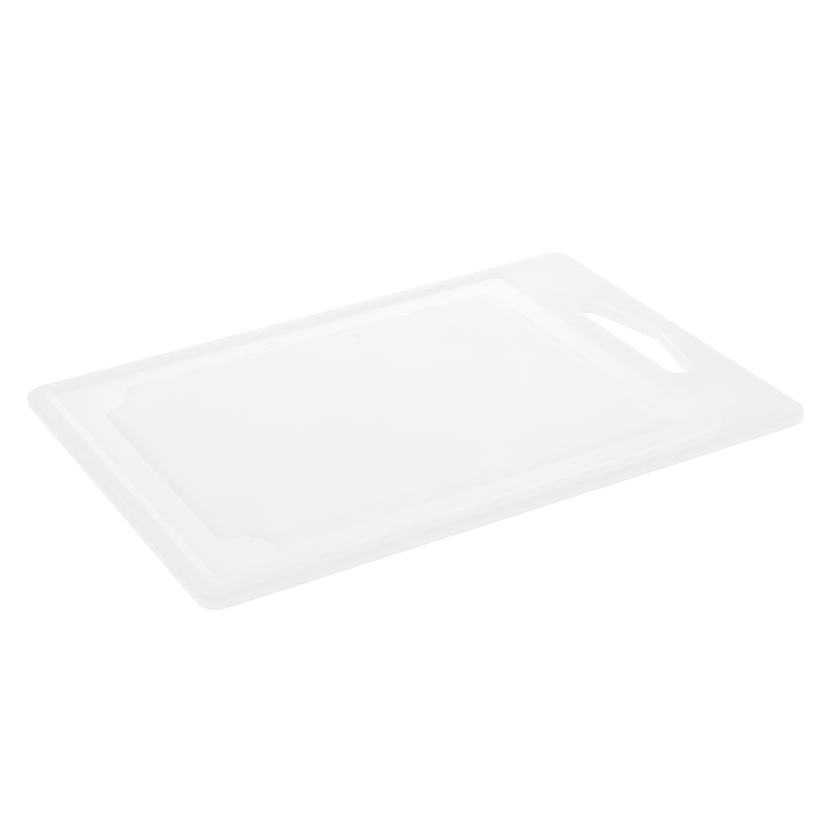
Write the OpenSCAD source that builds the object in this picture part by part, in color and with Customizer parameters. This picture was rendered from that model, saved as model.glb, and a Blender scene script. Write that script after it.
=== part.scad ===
// Food-preparation cutting board, moulded in one piece from white polyethylene.
//
// A flat slab with softly rounded edges.  A shallow trough runs all round a
// raised cutting pad and collects juice.  At one end the rim widens into a
// grip with a hand slot through it.  At the other end the two corners of the
// pad are scooped away, so that the trough opens into two wells to pour from.
//
// Millimetres.  The origin is the centre of the underside.  +X runs along the
// board to the grip end, +Y across it, and +Z up out of the cutting face.

/* [Slab] */
// Length of the board, grip end included
board_l = 340; // [300:1:420]
// Width of the board
board_w = 240; // [200:1:300]
// Thickness of the board
board_t = 8; // [6:0.5:15]
// Radius of the four corners, seen from above
corner_r = 11; // [6:0.5:20]
// Rounding of the outer edge, on both faces
edge_r = 2.5; // [1:0.25:2.75]

/* [Trough] */
// Width of the rim along the long sides
side_rim_w = 8; // [6:0.5:14]
// Width of the rim at the pouring end
end_rim_w = 8.5; // [6:0.5:14]
// Width of the grip, from the end of the board to the trough
grip_w = 45.5; // [44:0.5:60]
// Width of the trough along the long sides, slopes included
side_trough_w = 23; // [16:0.5:30]
// Width of the trough at the two ends, slopes included
end_trough_w = 24.5; // [16:0.5:30]
// Depth of the trough
trough_depth = 1.5; // [1:0.25:3]
// Width of each slope, from the face down to the trough's floor
slope_w = 5; // [3:0.25:6]
// Radius of the trough's outer corners at the pouring end
pour_corner_r = 8; // [7:0.5:16]
// Radius of the trough's outer corners at the grip end
grip_corner_r = 11; // [7:0.5:16]

/* [Cutting pad] */
// Radius of the pad's corners at the grip end
pad_corner_r = 4; // [2.5:0.5:12]
// Radius of the scoop that replaces each pad corner at the pouring end
scoop_r = 23; // [10:0.5:36]
// Distance of each scoop's centre outside the pad, along and across the board
scoop_offset = 3; // [0:0.5:6]

/* [Hand slot] */
// Overall length of the slot, across the board
slot_l = 98.8; // [80:0.2:120]
// Distance from the end of the board to the slot's straight side
slot_back = 36.3; // [34:0.1:38]
// Radius of the slot's two ends
slot_end_r = 6; // [5:0.25:8]
// Radius of the slot's outer side at its middle, where it is widest
slot_mid_r = 11; // [9:0.25:12]
// Rounding of the slot's edge, on both faces
slot_edge_r = 2.5; // [1:0.25:2.75]

/* [Hidden] */

$fn = 96;

// How far straight cuts run past the faces that they cut
clearance = 0.5;

// The same for the sloping cuts, as a share of the trough's depth
overrun = 0.2;

// Rounded surfaces that would only touch a flat one are set this far inside
// it, so that the two cross
set_in = 0.01;

// The slab's plan
half_l = board_l / 2;
half_w = board_w / 2;

// Outline of the trough where it meets the face
trough_pour_x = -half_l + end_rim_w;
trough_grip_x = half_l - grip_w;
trough_half_w = half_w - side_rim_w;

// Outline of the pad's face
pad_pour_x = trough_pour_x + end_trough_w;
pad_grip_x = trough_grip_x - end_trough_w;
pad_half_w = trough_half_w - side_trough_w;

// Centres of the circles at the slot's ends, from the middle of its straight
// side.  The circle at its middle is centred at [slot_mid_r, 0].
slot_end_x = slot_end_r;
slot_end_y = slot_l / 2 - slot_end_r;

// Direction of the outward normal of the slot's slanted side: the two circles
// share a tangent, and it leans by the difference of their radii
slot_run = norm([slot_mid_r - slot_end_x, slot_end_y]);
slot_lean = asin((slot_mid_r - slot_end_r) / slot_run);
slot_heading = atan2(slot_mid_r - slot_end_x, slot_end_y);
slot_normal = slot_heading + slot_lean;

// Point on a circle of radius r about [x, y], in the direction a
function on_circle(x, y, r, a) = [x + r * cos(a), y + r * sin(a)];

// Heights in the trough are counted in depths above the face: -1 is the
// trough's floor and 0 is the face
function level(depths) = board_t + depths * trough_depth;

// How far a sloping wall has moved out, from its line on the face
function spread(depths) = depths * slope_w;

// Half of the slab's cross-section, from its middle out to its rounded edge
module half_section(reach) {
    square([reach - edge_r, board_t]);
    translate([0, edge_r]) square([reach, board_t - 2 * edge_r]);
    translate([reach - edge_r, edge_r]) circle(edge_r);
    translate([reach - edge_r, board_t - edge_r]) circle(edge_r);
}

// Whole cross-section of the slab
module section(reach) {
    half_section(reach);
    mirror([1, 0]) half_section(reach);
}

// The plain slab with rounded corners and edges
module slab() {
    corner_x = half_l - corner_r;
    corner_y = half_w - corner_r;
    for (x = [-corner_x, corner_x], y = [-corner_y, corner_y]) {
        translate([x, y, 0]) rotate_extrude() half_section(corner_r);
    }
    rotate([90, 0, 90]) linear_extrude(2 * corner_x, center = true) section(half_w);
    rotate([90, 0, 0]) linear_extrude(2 * corner_y, center = true) section(half_l);
}

// A round solid with a sloping wall, r in radius where it passes the face.
// The wall leans out going up when lean is 1, and in when lean is -1.
module sloped_round(r, lean, low, high) {
    translate([0, 0, level(low)])
        cylinder(
            h = level(high) - level(low),
            r1 = r + lean * spread(low),
            r2 = r + lean * spread(high)
        );
}

// A straight solid along X, start to stop, with sloping walls half apart
// from the middle on both sides
module sloped_bar(start, stop, half, lean, low, high) {
    foot = half + lean * spread(low);
    head = half + lean * spread(high);
    translate([start, 0, 0])
        rotate([90, 0, 90])
            linear_extrude(stop - start)
                polygon([
                    [-foot, level(low)],
                    [foot, level(low)],
                    [head, level(high)],
                    [-head, level(high)]
                ]);
}

// A straight solid along Y, half long on both sides of the middle, that
// reaches from x = 0 to a sloping wall at x = reach
module sloped_end(reach, half, lean, low, high) {
    rotate([90, 0, 0])
        linear_extrude(2 * half, center = true)
            polygon([
                [0, level(low)],
                [reach + lean * spread(low), level(low)],
                [reach + lean * spread(high), level(high)],
                [0, level(high)]
            ]);
}

// A slab with sloping walls between two heights.  On the face its outline is
// a rectangle from x_pour to x_grip and half wide on both sides, with corners
// of radius r_pour and r_grip.
module sloped_slab(x_pour, x_grip, half, r_pour, r_grip, lean, low, high) {
    for (side = [-1, 1]) {
        translate([x_pour + r_pour, side * (half - r_pour), 0])
            sloped_round(r_pour, lean, low, high);
        translate([x_grip - r_grip, side * (half - r_grip), 0])
            sloped_round(r_grip, lean, low, high);
    }
    sloped_bar(x_pour + r_pour, x_grip - r_grip, half, lean, low, high);
    mirror([1, 0, 0]) sloped_end(-x_pour, half - r_pour, lean, low, high);
    sloped_end(x_grip, half - r_grip, lean, low, high);
}

// The raised pad, with its corners scooped away at the pouring end
module pad() {
    difference() {
        sloped_slab(
            pad_pour_x, pad_grip_x, pad_half_w, pad_corner_r, pad_corner_r,
            -1, -1 - overrun, 2 * overrun
        );
        for (side = [-1, 1]) {
            translate([pad_pour_x - scoop_offset, side * (pad_half_w + scoop_offset), 0])
                sloped_round(scoop_r, 1, -1 - 2 * overrun, 3 * overrun);
        }
    }
}

// What the trough removes: a sloping tray with the pad left standing in it
module trough() {
    difference() {
        sloped_slab(
            trough_pour_x, trough_grip_x, trough_half_w, pour_corner_r, grip_corner_r,
            1, -1, overrun
        );
        pad();
    }
}

// Section of the slot's flared mouth, from inside the opening out to a wall
// at reach that rounds over into the board's face
module mouth_section(inside, reach) {
    difference() {
        translate([inside, board_t - slot_edge_r])
            square([reach + slot_edge_r - inside, slot_edge_r + clearance]);
        translate([reach + slot_edge_r, board_t - slot_edge_r]) circle(slot_edge_r);
    }
}

// Flared mouth along one straight side of the slot, from the point start,
// with the outward normal in the direction normal
module mouth_side(start, normal, length, reach) {
    translate([start[0], start[1], 0])
        rotate([90, 0, normal])
            linear_extrude(length)
                mouth_section(-slot_end_r, reach);
}

// Rounding of the slot's edge on the upper face
module mouth() {
    slant_start = on_circle(slot_end_x, slot_end_y, slot_end_r, slot_normal);
    for (side = [-1, 1]) {
        translate([slot_end_x, side * slot_end_y, 0])
            rotate_extrude() mouth_section(0, slot_end_r - set_in);
    }
    translate([slot_mid_r, 0, 0])
        rotate_extrude() mouth_section(0, slot_mid_r - set_in);
    mouth_side([0, -slot_end_y], 180, 2 * slot_end_y, -set_in);
    for (flip = [0, 1]) {
        mirror([0, flip, 0])
            mouth_side(slant_start, slot_normal, slot_run * cos(slot_lean), -2 * set_in);
    }
}

// The slot's plan: three circles and the shape that their tangents enclose
module slot_plan() {
    slant_start = on_circle(slot_end_x, slot_end_y, slot_end_r - set_in, slot_normal);
    slant_stop = on_circle(slot_mid_r, 0, slot_mid_r - set_in, slot_normal);
    translate([slot_end_x, slot_end_y]) circle(slot_end_r);
    translate([slot_end_x, -slot_end_y]) circle(slot_end_r);
    translate([slot_mid_r, 0]) circle(slot_mid_r);
    polygon([
        [0, slot_end_y],
        [slot_end_x, slot_end_y],
        slant_start,
        slant_stop,
        [slot_mid_r, 0],
        [slant_stop[0], -slant_stop[1]],
        [slant_start[0], -slant_start[1]],
        [slot_end_x, -slot_end_y],
        [0, -slot_end_y]
    ]);
}

// The hand slot, right through the grip, with both of its edges rounded
module hand_slot() {
    translate([half_l - slot_back, 0, 0]) {
        translate([0, 0, -clearance])
            linear_extrude(board_t + 2 * clearance) slot_plan();
        mouth();
        translate([0, 0, board_t]) mirror([0, 0, 1]) mouth();
    }
}

// The board itself
module board() {
    color("whitesmoke")
        difference() {
            slab();
            trough();
            hand_slot();
        }
}

board();
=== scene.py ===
"""Looks of a white polyethylene cutting board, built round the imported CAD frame.

The board is one moulding.  Its visible skin is lofted here from closed outlines,
ring by ring, with the soft blends that a moulded edge has, and it stands for the
CAD node "board".  All lengths are metres in the CAD frame: the origin is the centre
of the underside, +X points to the grip, +Y across the board and +Z up.
"""

import math

import bpy
import numpy as np
from mathutils import Matrix, Vector
from mathutils.geometry import delaunay_2d_cdt


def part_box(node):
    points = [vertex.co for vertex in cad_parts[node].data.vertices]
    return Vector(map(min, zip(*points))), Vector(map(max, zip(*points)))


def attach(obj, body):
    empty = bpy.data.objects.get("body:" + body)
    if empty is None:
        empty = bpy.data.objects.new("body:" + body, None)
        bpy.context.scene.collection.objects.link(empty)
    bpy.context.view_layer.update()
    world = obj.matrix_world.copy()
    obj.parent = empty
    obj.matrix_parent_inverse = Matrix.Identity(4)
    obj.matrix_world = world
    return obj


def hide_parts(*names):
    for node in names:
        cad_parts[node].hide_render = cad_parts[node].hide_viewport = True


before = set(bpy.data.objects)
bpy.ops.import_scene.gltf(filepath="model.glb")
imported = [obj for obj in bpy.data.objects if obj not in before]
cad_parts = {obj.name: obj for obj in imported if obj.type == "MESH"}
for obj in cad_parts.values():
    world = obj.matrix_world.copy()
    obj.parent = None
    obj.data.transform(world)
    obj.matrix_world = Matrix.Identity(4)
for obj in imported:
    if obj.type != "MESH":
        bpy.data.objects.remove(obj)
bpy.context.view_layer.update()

MM = 0.001
WHITE = (1.0, 1.0, 1.0, 1.0)

# ---------------------------------------------------------------- dimensions
# The overall size comes from the frame, and the other sizes are those of the CAD part.
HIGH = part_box("board")[1]
HALF_LENGTH = HIGH.x
HALF_WIDTH = HIGH.y
TOP = HIGH.z

CORNER_RADIUS = 11 * MM
EDGE_RADIUS = 2.5 * MM

# The trough, and the rim outside it
SIDE_RIM = 8 * MM
END_RIM = 8.5 * MM
GRIP = 45.5 * MM
SIDE_TROUGH = 23 * MM
END_TROUGH = 24.5 * MM
TROUGH_DEPTH = 1.5 * MM
SLOPE_WIDTH = 5 * MM
POUR_CORNER_RADIUS = 8 * MM
GRIP_CORNER_RADIUS = 11 * MM

# The pad, and the scoops that replace its corners at the pouring end
PAD_CORNER_RADIUS = 4 * MM
SCOOP_RADIUS = 23 * MM
SCOOP_OFFSET = 3 * MM

# The hand slot.  SLOT_BACK is from the end of the board to the slot's straight side.
SLOT_LENGTH = 98.8 * MM
SLOT_BACK = 36.3 * MM
SLOT_END_RADIUS = 6 * MM
SLOT_MIDDLE_RADIUS = 11 * MM

# Blends that only the skin has: where a slope meets the face and the trough's floor,
# and where a scoop meets the pad's sides
FACE_BLEND_RADIUS = 5 * MM
FLOOR_BLEND_RADIUS = 2 * MM
CUSP_RADIUS = 3 * MM

# Fineness of the mesh
ARC_STEPS = 12
EDGE_STEPS = 8
BLEND_STEPS = 4
SIDE_SPACING = 5 * MM
FILL_SPACING = 7 * MM

# Two arcs that are nearer than this share an end point, with no side between them
SHORTEST_SIDE = 1e-7

# For Blender's triangulation: how near two points count as one, and its number for
# keeping only the triangles inside the outlines
SAME_POINT = 1e-9
INSIDE_ONLY = 1


# ------------------------------------------------------------------ outlines
# An outline is a closed run of arcs, anticlockwise, joined by straight sides that
# touch them.  Each arc is (centre, radius, first, last): first and last are the
# directions of its outward normal, and the radius is negative where the outline
# turns inwards.  Growing an outline only adds to the radii.

def rounded_rectangle(x_low, x_high, half_width, radius_low, radius_high):
    """A rectangle centred on the X axis, with one corner radius at each end."""
    right = x_high - radius_high
    left = x_low + radius_low
    right_y = half_width - radius_high
    left_y = half_width - radius_low
    return [
        (Vector((right, -right_y)), radius_high, math.radians(-90), 0.0),
        (Vector((right, right_y)), radius_high, 0.0, math.radians(90)),
        (Vector((left, left_y)), radius_low, math.radians(90), math.radians(180)),
        (Vector((left, -left_y)), radius_low, math.radians(180), math.radians(270)),
    ]


def mirrored(arcs):
    """The same arcs reflected in the X axis, in the order that keeps them anticlockwise."""
    return [
        (Vector((centre.x, -centre.y)), radius, math.tau - last, math.tau - first)
        for centre, radius, first, last in reversed(arcs)
    ]


def pad_outline(x_low, x_high, half_width):
    """The pad: plain corners at the grip end, and scooped ones at the pouring end.

    A small cusp radius joins each scoop to the two straight sides that it cuts.
    """
    scoop = Vector((x_low - SCOOP_OFFSET, half_width + SCOOP_OFFSET))
    span = SCOOP_RADIUS + CUSP_RADIUS
    reach = math.sqrt(span ** 2 - (SCOOP_OFFSET + CUSP_RADIUS) ** 2)
    end_cusp = Vector((x_low + CUSP_RADIUS, scoop.y - reach))
    side_cusp = Vector((scoop.x + reach, half_width - CUSP_RADIUS))
    to_scoop_from_end = math.atan2(scoop.y - end_cusp.y, scoop.x - end_cusp.x)
    to_scoop_from_side = math.atan2(scoop.y - side_cusp.y, scoop.x - side_cusp.x)
    scooped = [
        (side_cusp, CUSP_RADIUS, math.radians(90), to_scoop_from_side),
        (scoop, -SCOOP_RADIUS, to_scoop_from_side, to_scoop_from_end),
        (end_cusp, CUSP_RADIUS, to_scoop_from_end, math.radians(180)),
    ]
    plain = rounded_rectangle(x_low, x_high, half_width, PAD_CORNER_RADIUS, PAD_CORNER_RADIUS)
    return plain[:2] + scooped + mirrored(scooped)


def slot_outline():
    """The hand slot: two end circles and a larger middle one, joined by tangents."""
    x_straight = HALF_LENGTH - SLOT_BACK
    end = Vector((x_straight + SLOT_END_RADIUS, SLOT_LENGTH / 2 - SLOT_END_RADIUS))
    middle = Vector((x_straight + SLOT_MIDDLE_RADIUS, 0.0))
    gap = middle - end
    lean = math.asin((SLOT_MIDDLE_RADIUS - SLOT_END_RADIUS) / gap.length)
    slant = math.atan2(gap.x, -gap.y) + lean
    return [
        (middle, SLOT_MIDDLE_RADIUS, -slant, slant),
        (end, SLOT_END_RADIUS, slant, math.radians(180)),
        (Vector((end.x, -end.y)), SLOT_END_RADIUS, math.radians(180), math.tau - slant),
    ]


def walk(arcs, grow):
    """Points and outward normals once round an outline that is grown by `grow`.

    The number of points depends only on the outline and not on `grow`, so that
    rings of the same outline can be lofted point to point.
    """
    points, normals = [], []
    for index, (centre, radius, first, last) in enumerate(arcs):
        for step in range(ARC_STEPS + 1):
            angle = first + (last - first) * step / ARC_STEPS
            normal = Vector((math.cos(angle), math.sin(angle)))
            points.append(centre + normal * (radius + grow))
            normals.append(normal)
        next_centre, next_radius, next_first, _ = arcs[(index + 1) % len(arcs)]
        side_normal = Vector((math.cos(next_first), math.sin(next_first)))
        start = points[-1]
        stop = next_centre + side_normal * (next_radius + grow)
        side_at_rest = (next_centre + side_normal * next_radius) - (
            centre + side_normal * radius
        )
        pieces = round(side_at_rest.length / SIDE_SPACING)
        for step in range(1, pieces):
            points.append(start.lerp(stop, step / pieces))
            normals.append(side_normal)
        if side_at_rest.length < SHORTEST_SIDE:
            points.pop()
            normals.pop()
    return points, normals


# ---------------------------------------------------------------------- skin
class Skin:
    """Vertices with their exact normals, and faces with a material number each."""

    def __init__(self):
        self.points = []
        self.normals = []
        self.faces = []
        self.materials = []

    def ring(self, arcs, grow, height, lean):
        """One closed ring at a height.  lean is how far its surface normal leans
        outwards from straight up, in radians, and is negative where it leans in."""
        flat, outward = walk(arcs, grow)
        first = len(self.points)
        for point, normal in zip(flat, outward):
            self.points.append(Vector((point.x, point.y, height)))
            side = normal * math.sin(lean)
            self.normals.append(Vector((side.x, side.y, math.cos(lean))))
        return list(range(first, len(self.points)))

    def face(self, corners, material):
        """Adds a face, turned so that it faces the way its vertex normals point."""
        a, b, c = (self.points[i] for i in corners[:3])
        d = self.points[corners[-1]]
        facing = (c - a).cross(d - b) if len(corners) == 4 else (b - a).cross(c - a)
        if facing.dot(sum((self.normals[i] for i in corners), Vector())) < 0:
            corners = corners[::-1]
        self.faces.append(corners)
        self.materials.append(material)

    def loft(self, rings, material):
        """Joins each ring to the next with quads."""
        for here, there in zip(rings, rings[1:]):
            for i in range(len(here)):
                j = (i + 1) % len(here)
                self.face([here[i], here[j], there[j], there[i]], material)

    def fill(self, outer, holes, material):
        """Fills the flat area inside one ring and outside others with triangles."""
        loops = [outer] + holes
        height = self.points[outer[0]].z
        up = self.normals[outer[0]]
        edges = []
        flat = []
        owners = []
        for loop in loops:
            base = len(flat)
            edges += [(base + i, base + (i + 1) % len(loop)) for i in range(len(loop))]
            flat += [self.points[i].to_2d() for i in loop]
            owners += loop
        outlines = [np.array([self.points[i].to_2d() for i in loop]) for loop in loops]
        for spot in self.filling_points(outlines):
            owners.append(len(self.points))
            self.points.append(Vector((spot[0], spot[1], height)))
            self.normals.append(up.copy())
            flat.append(Vector(spot))
        _, _, triangles, origins, _, _ = delaunay_2d_cdt(
            flat, edges, [], INSIDE_ONLY, SAME_POINT
        )
        for triangle in triangles:
            corners = [owners[origins[i][0]] for i in triangle]
            middle = sum((self.points[i].to_2d() for i in corners), Vector((0, 0))) / 3
            if any(inside(outline, middle) for outline in outlines[1:]):
                continue
            self.face(corners, material)

    @staticmethod
    def filling_points(outlines):
        """A grid of points inside the first outline, clear of every outline."""
        low = outlines[0].min(axis=0)
        high = outlines[0].max(axis=0)
        counts = np.ceil((high - low) / FILL_SPACING).astype(int)
        rings = np.vstack(outlines)
        spots = []
        for x in np.linspace(low[0], high[0], counts[0])[1:-1]:
            for y in np.linspace(low[1], high[1], counts[1])[1:-1]:
                near = np.hypot(rings[:, 0] - x, rings[:, 1] - y).min()
                if near < FILL_SPACING / 2 or not inside(outlines[0], (x, y)):
                    continue
                if any(inside(outline, (x, y)) for outline in outlines[1:]):
                    continue
                spots.append((float(x), float(y)))
        return spots

    def build(self, name, materials):
        """Makes the Blender object, with its materials in the order of their numbers."""
        mesh = bpy.data.meshes.new(name)
        mesh.from_pydata(self.points, [], self.faces)
        for material in materials:
            mesh.materials.append(material)
        mesh.polygons.foreach_set("material_index", self.materials)
        mesh.polygons.foreach_set("use_smooth", [True] * len(self.faces))
        mesh.validate()
        mesh.normals_split_custom_set_from_vertices(self.normals)
        piece = bpy.data.objects.new(name, mesh)
        bpy.context.scene.collection.objects.link(piece)
        return piece


def inside(outline, spot):
    """True if the spot lies inside the closed outline."""
    x, y = spot[0], spot[1]
    ahead = np.roll(outline, -1, axis=0)
    crosses = (outline[:, 1] > y) != (ahead[:, 1] > y)
    rise = np.where(crosses, ahead[:, 1] - outline[:, 1], 1.0)
    cut = outline[:, 0] + (y - outline[:, 1]) * (ahead[:, 0] - outline[:, 0]) / rise
    return bool(np.count_nonzero(crosses & (x < cut)) % 2)


def slope_steps():
    """Cross-section of a trough slope: (distance past the face's line, drop, tilt).

    The slope is straight, and one blend eases it into the face and one into the floor.
    """
    tilt = math.atan2(TROUGH_DEPTH, SLOPE_WIDTH)

    def blend(radius):
        angles = [tilt * step / BLEND_STEPS for step in range(BLEND_STEPS + 1)]
        ease = radius * math.tan(tilt / 2)
        return [(radius * math.sin(a) - ease, radius * (1 - math.cos(a)), a) for a in angles]

    floor = [
        (SLOPE_WIDTH - along, TROUGH_DEPTH - drop, angle)
        for along, drop, angle in blend(FLOOR_BLEND_RADIUS)
    ]
    return blend(FACE_BLEND_RADIUS) + floor[::-1]


def rolled_edge(skin, arcs, side):
    """Rings over a rounded edge, down the wall and round the lower edge.

    side is 1 where the board is inside the outline, and -1 where it is outside,
    as it is round the slot.
    """
    rings = []
    for step in range(2 * EDGE_STEPS + 2):
        lower = step > EDGE_STEPS
        turn = step - 1 if lower else step
        angle = math.radians(90) * turn / EDGE_STEPS
        centre = EDGE_RADIUS if lower else TOP - EDGE_RADIUS
        rings.append(skin.ring(
            arcs,
            side * EDGE_RADIUS * (math.sin(angle) - 1),
            centre + EDGE_RADIUS * math.cos(angle),
            side * angle,
        ))
    return rings


# Numbers of the materials, in the order in which they are made below.  UNDERSIDE is
# also on the lower rounded edges, and SLOT_WALL on most of the slot's upper one.
MATT, TROUGH, SLOT_WALL, UNDERSIDE = range(4)


def board_skin(materials):
    """The whole moulding as one closed surface."""
    skin = Skin()
    trough_low = -HALF_LENGTH + END_RIM
    trough_high = HALF_LENGTH - GRIP
    trough_half = HALF_WIDTH - SIDE_RIM
    plan = rounded_rectangle(
        -HALF_LENGTH, HALF_LENGTH, HALF_WIDTH, CORNER_RADIUS, CORNER_RADIUS
    )
    trough = rounded_rectangle(
        trough_low, trough_high, trough_half, POUR_CORNER_RADIUS, GRIP_CORNER_RADIUS
    )
    pad = pad_outline(
        trough_low + END_TROUGH, trough_high - END_TROUGH, trough_half - SIDE_TROUGH
    )

    outer = rolled_edge(skin, plan, side=1)
    wall_foot = EDGE_STEPS + 1
    skin.loft(outer[:wall_foot + 1], MATT)
    skin.loft(outer[wall_foot:], UNDERSIDE)

    # The slot's own material starts one ring down the upper lip, and ends one ring down
    # the lower lip
    slot = rolled_edge(skin, slot_outline(), side=-1)
    start = 1
    stop = wall_foot + 1
    skin.loft(slot[:start + 1], MATT)
    skin.loft(slot[start:stop + 1], SLOT_WALL)
    skin.loft(slot[stop:], UNDERSIDE)

    down = [
        skin.ring(trough, -along, TOP - drop, -tilt) for along, drop, tilt in slope_steps()
    ]
    up = [
        skin.ring(pad, along, TOP - drop, tilt) for along, drop, tilt in slope_steps()
    ]
    for slope in (down, up):
        skin.loft(slope[:BLEND_STEPS + 1], MATT)
        skin.loft(slope[BLEND_STEPS:], TROUGH)

    skin.fill(outer[0], [down[0], slot[0]], MATT)
    skin.fill(down[-1], [up[-1]], TROUGH)
    skin.fill(up[0], [], MATT)
    skin.fill(outer[-1], [slot[-1]], UNDERSIDE)
    return skin.build("board_moulding", materials)


# ----------------------------------------------------------------- materials
# Every white has this much less blue, and its clouds are darker by CLOUD_CONTRAST
WARMTH = 0.001
CLOUD_SIZE = 45 * MM
CLOUD_CONTRAST = 0.01

# Painted shade: what is left of the white at the board's walls, and how far in the darkening
# reaches.
# The slot's wall counts as SLOT_SHELTER further off than it is.
PAINTED_EDGE_SHADE = 0.968
EDGE_SHADE_REACH = 40 * MM
SLOT_SHELTER = 3 * MM

# Patches of different roughness, and a slight ripple under the mould's grain
PATCH_SIZE = 6 * MM
RIPPLE_SIZE = 9 * MM
RIPPLE_DEPTH = 0.02 * MM
RIPPLE_STRENGTH = 0.5
GRAIN_STRENGTH = 0.6

# Light in the plastic.  A glow is the share of it that goes below the surface, and
# how far that goes.  COLOUR_REACH compares how far red, green and blue go.
REFRACTIVE_INDEX = 1.53
COLOUR_REACH = (1.0, 0.98, 0.96)
SHALLOW_GLOW = (0.7, 6 * MM)
DEEP_GLOW = (1.0, 25 * MM)

# Nearly all the values of a noise texture lie in this range
NOISE_LOW = 0.3
NOISE_HIGH = 0.7

# Marks in the plastic: (place, radius, how much of the white is left in the middle).
# The first is where the plastic was fed into the mould, and the others are specks.
MARKS = [
    ((-2.2 * MM, -HALF_WIDTH, 5.2 * MM), 2.6 * MM, 0.93),
    ((11.8 * MM, 79.6 * MM, TOP), 1.8 * MM, 0.91),
    ((-130 * MM, -83 * MM, TOP - TROUGH_DEPTH), 1.3 * MM, 0.92),
]
# The part of a mark's radius over which it is at its full strength
MARK_CORE = 0.3


class Nodes:
    """A few words for wiring a material's nodes."""

    def __init__(self, name):
        self.material = bpy.data.materials.new(name)
        self.material.use_nodes = True
        self.tree = self.material.node_tree
        self.shader = self.tree.nodes["Principled BSDF"]
        self.place = self.add("ShaderNodeTexCoord").outputs["Object"]

    def add(self, kind, **settings):
        """A new node with the given properties."""
        node = self.tree.nodes.new(kind)
        for key, value in settings.items():
            setattr(node, key, value)
        return node

    def link(self, source, target):
        """Wires an output to an input."""
        self.tree.links.new(source, target)

    def noise(self, size, detail=2.0, roughness=0.5):
        """Noise whose features are about `size` metres across, from 0 to 1."""
        node = self.add("ShaderNodeTexNoise")
        node.inputs["Scale"].default_value = 1 / size
        node.inputs["Detail"].default_value = detail
        node.inputs["Roughness"].default_value = roughness
        self.link(self.place, node.inputs["Vector"])
        return node.outputs["Fac"]

    def ranged(self, value, low, high, from_low=NOISE_LOW, from_high=NOISE_HIGH):
        """The value moved from the range from_low to from_high to the range low to high."""
        node = self.add("ShaderNodeMapRange")
        node.inputs["From Min"].default_value = from_low
        node.inputs["From Max"].default_value = from_high
        node.inputs["To Min"].default_value = low
        node.inputs["To Max"].default_value = high
        self.link(value, node.inputs["Value"])
        return node.outputs["Result"]

    def blended(self, factor, first, second):
        """A colour between two, by the factor."""
        node = self.add("ShaderNodeMix", data_type="RGBA")
        self.link(factor, node.inputs["Factor"])
        for socket, colour in (("A", first), ("B", second)):
            port = [s for s in node.inputs if s.name == socket and s.type == "RGBA"][0]
            if isinstance(colour, tuple):
                port.default_value = (*colour, 1.0)
            else:
                self.link(colour, port)
        return [s for s in node.outputs if s.type == "RGBA"][0]

    def maths(self, operation, first, second=None):
        """A Math node on one or two values, each a socket or a number."""
        node = self.add("ShaderNodeMath", operation=operation)
        for port, value in zip(node.inputs, (first, second)):
            if isinstance(value, float):
                port.default_value = value
            elif value is not None:
                self.link(value, port)
        return node.outputs["Value"]

    def edge_distance(self):
        """How far a place is from the nearest wall of the board or slot, in metres.

        The slot's wall counts as further off, because less light leaves through it.
        """
        split = self.add("ShaderNodeSeparateXYZ")
        self.link(self.place, split.inputs["Vector"])
        along = self.maths("ABSOLUTE", split.outputs["X"])
        across = self.maths("ABSOLUTE", split.outputs["Y"])
        from_end = self.maths("SUBTRACT", HALF_LENGTH, along)
        from_side = self.maths("SUBTRACT", HALF_WIDTH, across)
        from_rim = self.maths("MINIMUM", from_end, from_side)
        slot_middle = HALF_LENGTH - SLOT_BACK + SLOT_MIDDLE_RADIUS
        past_middle = self.maths("SUBTRACT", split.outputs["X"], slot_middle)
        off_middle = self.maths("ABSOLUTE", past_middle)
        beside_slot = self.maths("SUBTRACT", off_middle, SLOT_MIDDLE_RADIUS)
        past_slot = self.maths("SUBTRACT", across, SLOT_LENGTH / 2)
        to_slot = self.maths("MAXIMUM", beside_slot, past_slot)
        from_slot = self.maths("ADD", to_slot, SLOT_SHELTER)
        return self.maths("MINIMUM", from_rim, from_slot)

    def spot(self, place, radius):
        """1 at a place, falling softly to 0 at the radius."""
        node = self.add("ShaderNodeVectorMath", operation="DISTANCE")
        self.link(self.place, node.inputs[0])
        node.inputs[1].default_value = place
        return self.ranged(node.outputs["Value"], 1.0, 0.0, MARK_CORE * radius, radius)

    def bump(self, height, depth, strength, under=None):
        """Relief of `depth` metres, over another relief if one is given."""
        node = self.add("ShaderNodeBump")
        node.inputs["Distance"].default_value = depth
        node.inputs["Strength"].default_value = strength
        self.link(height, node.inputs["Height"])
        if under is not None:
            self.link(under, node.inputs["Normal"])
        return node.outputs["Normal"]


def near_white(level):
    """A white of this brightness, a touch warm."""
    return (level, level, level - WARMTH)


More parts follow.
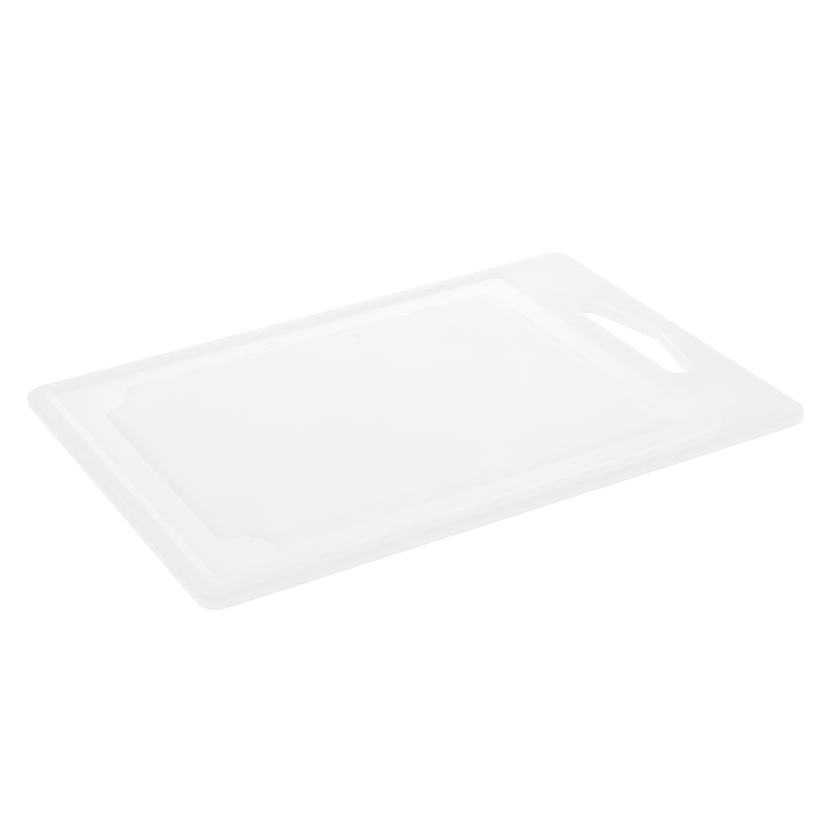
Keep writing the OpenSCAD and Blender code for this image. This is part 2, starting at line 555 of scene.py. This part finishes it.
def polyethylene(
    name, level, roughness, grain, grain_depth, edge_shade=PAINTED_EDGE_SHADE, glow=SHALLOW_GLOW
):
    """Moulded polyethylene: cloudy white, waxy, with the mould's fine grain on it.

    Light that enters the plastic near the walls leaves through them, and painted shade
    darkens the colour a little towards the edge.  level is how light the white is,
    roughness is its lowest and highest value, and grain is the size of the mould's pits.
    """
    nodes = Nodes(name)
    shader = nodes.shader
    white = near_white(level)
    shade = near_white(level - CLOUD_CONTRAST)
    cloud = nodes.ranged(nodes.noise(CLOUD_SIZE, detail=3.0), 0.0, 1.0)
    cloudy = nodes.blended(cloud, shade, white)
    # Painted shade: the white darkens towards the walls of the board and the slot.
    edge_shade_colour = tuple(edge_shade * (a + b) / 2 for a, b in zip(white, shade))
    edge_shade_mask = nodes.ranged(nodes.edge_distance(), 1.0, 0.0, 0.0, EDGE_SHADE_REACH)
    colour = nodes.blended(edge_shade_mask, cloudy, edge_shade_colour)
    for place, radius, left in MARKS:
        stain = tuple(left * part for part in white)
        colour = nodes.blended(nodes.spot(place, radius), colour, stain)
    nodes.link(colour, shader.inputs["Base Color"])
    nodes.link(nodes.ranged(nodes.noise(PATCH_SIZE), *roughness), shader.inputs["Roughness"])
    ripple = nodes.bump(nodes.noise(RIPPLE_SIZE), RIPPLE_DEPTH, RIPPLE_STRENGTH)
    pits = nodes.noise(grain, detail=3.0, roughness=0.6)
    pitted = nodes.bump(pits, grain_depth, GRAIN_STRENGTH, ripple)
    nodes.link(pitted, shader.inputs["Normal"])
    shader.inputs["IOR"].default_value = REFRACTIVE_INDEX
    weight, distance = glow
    shader.inputs["Subsurface Weight"].default_value = weight
    shader.inputs["Subsurface Radius"].default_value = COLOUR_REACH
    shader.inputs["Subsurface Scale"].default_value = distance
    return nodes.material


materials = [
    polyethylene(
        "matt_face", level=0.856, roughness=(0.5, 0.62), grain=0.5 * MM, grain_depth=0.03 * MM
    ),
    polyethylene(
        "smooth_trough", level=0.86, roughness=(0.295, 0.34), grain=0.8 * MM,
        grain_depth=0.01 * MM,
    ),
    # Painted shade: a darker white than the face's on the same plastic, set against the
    # deeper glow.
    polyethylene(
        "slot_wall", level=0.765, roughness=(0.5, 0.6), grain=0.5 * MM, grain_depth=0.03 * MM,
        edge_shade=1.0, glow=DEEP_GLOW,
    ),
    # Painted shade: a darker white than the face's, for the dark line along the lower edges.
    polyethylene(
        "underside", level=0.81, roughness=(0.48, 0.6), grain=0.6 * MM, grain_depth=0.03 * MM
    ),
]

board = board_skin(materials)
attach(board, "root")
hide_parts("board")


# --------------------------------------------------------------------- stage
FLOOR_SIZE = 12.0
FLOOR_COLOUR = (0.1, 0.1, 0.1, 1.0)
FLOOR_ROUGHNESS = 0.9
FLOOR_GLOW = 0.985
SKY_STRENGTH = 0.875
SOFTBOX_DISTANCE = 0.8
SOFTBOX_SIZE = 0.5
# Softboxes: (name, degrees from +X towards +Y, degrees above the floor, watts)
SOFTBOXES = [
    ("softbox_above", 45, 70, 0.74),
    ("softbox_far_side", 66, 23, 0.37),
    ("softbox_low", 50, 8, 0.09),
]


def make_floor():
    """A floor that glows white, as a light table does, so that it shows no shadow."""
    half = FLOOR_SIZE / 2
    mesh = bpy.data.meshes.new("floor")
    corners = [(-half, -half, 0), (half, -half, 0), (half, half, 0), (-half, half, 0)]
    mesh.from_pydata(corners, [], [(0, 1, 2, 3)])
    floor = bpy.data.objects.new("floor", mesh)
    bpy.context.scene.collection.objects.link(floor)
    material = bpy.data.materials.new("floor")
    material.use_nodes = True
    shader = material.node_tree.nodes["Principled BSDF"]
    shader.inputs["Base Color"].default_value = FLOOR_COLOUR
    shader.inputs["Roughness"].default_value = FLOOR_ROUGHNESS
    shader.inputs["Specular IOR Level"].default_value = 0.0
    shader.inputs["Emission Color"].default_value = WHITE
    shader.inputs["Emission Strength"].default_value = FLOOR_GLOW
    mesh.materials.append(material)


def make_softbox(name, heading, height, watts):
    """A square area light that shines at the middle of the board."""
    light = bpy.data.lights.new(name, "AREA")
    light.size = SOFTBOX_SIZE
    light.energy = watts
    lamp = bpy.data.objects.new(name, light)
    heading = math.radians(heading)
    height = math.radians(height)
    lamp.location = SOFTBOX_DISTANCE * Vector((
        math.cos(height) * math.cos(heading),
        math.cos(height) * math.sin(heading),
        math.sin(height),
    ))
    lamp.rotation_euler = (-lamp.location).to_track_quat("-Z", "Y").to_euler()
    bpy.context.scene.collection.objects.link(lamp)


def make_sky(strength):
    """Even white light from all round."""
    world = bpy.data.worlds.new("studio")
    world.use_nodes = True
    background = world.node_tree.nodes["Background"]
    background.inputs["Color"].default_value = WHITE
    background.inputs["Strength"].default_value = strength
    bpy.context.scene.world = world


make_floor()
make_sky(SKY_STRENGTH)
for softbox in SOFTBOXES:
    make_softbox(*softbox)

# -------------------------------------------------------------------- camera
# The view's heading is from +Y towards +X, and VIEW_DOWN is how far it looks down.
VIEW_HEADING = math.radians(28.16)
VIEW_DOWN = math.radians(28.47)
VIEW_ROLL = math.radians(-1.87)
VIEW_DISTANCE = 1.0786
VIEW_TARGET = Vector((-5.8 * MM, -15.4 * MM, TOP))
LENS_MM = 91.15
SENSOR_MM = 36.0
CLIP_START = 0.01
CLIP_END = 50.0


def make_camera():
    """The camera looks from the near left, over the pouring corner."""
    ahead = Vector((
        math.sin(VIEW_HEADING) * math.cos(VIEW_DOWN),
        math.cos(VIEW_HEADING) * math.cos(VIEW_DOWN),
        -math.sin(VIEW_DOWN),
    ))
    data = bpy.data.cameras.new("camera")
    data.lens = LENS_MM
    data.sensor_width = SENSOR_MM
    data.clip_start = CLIP_START
    data.clip_end = CLIP_END
    camera = bpy.data.objects.new("camera", data)
    bpy.context.scene.collection.objects.link(camera)
    level = ahead.to_track_quat("-Z", "Y").to_matrix().to_4x4()
    roll = Matrix.Rotation(VIEW_ROLL, 4, "Z")
    place = Matrix.Translation(VIEW_TARGET - ahead * VIEW_DISTANCE)
    camera.matrix_world = place @ level @ roll
    bpy.context.scene.camera = camera


make_camera()
bpy.context.scene.view_settings.view_transform = "Standard"
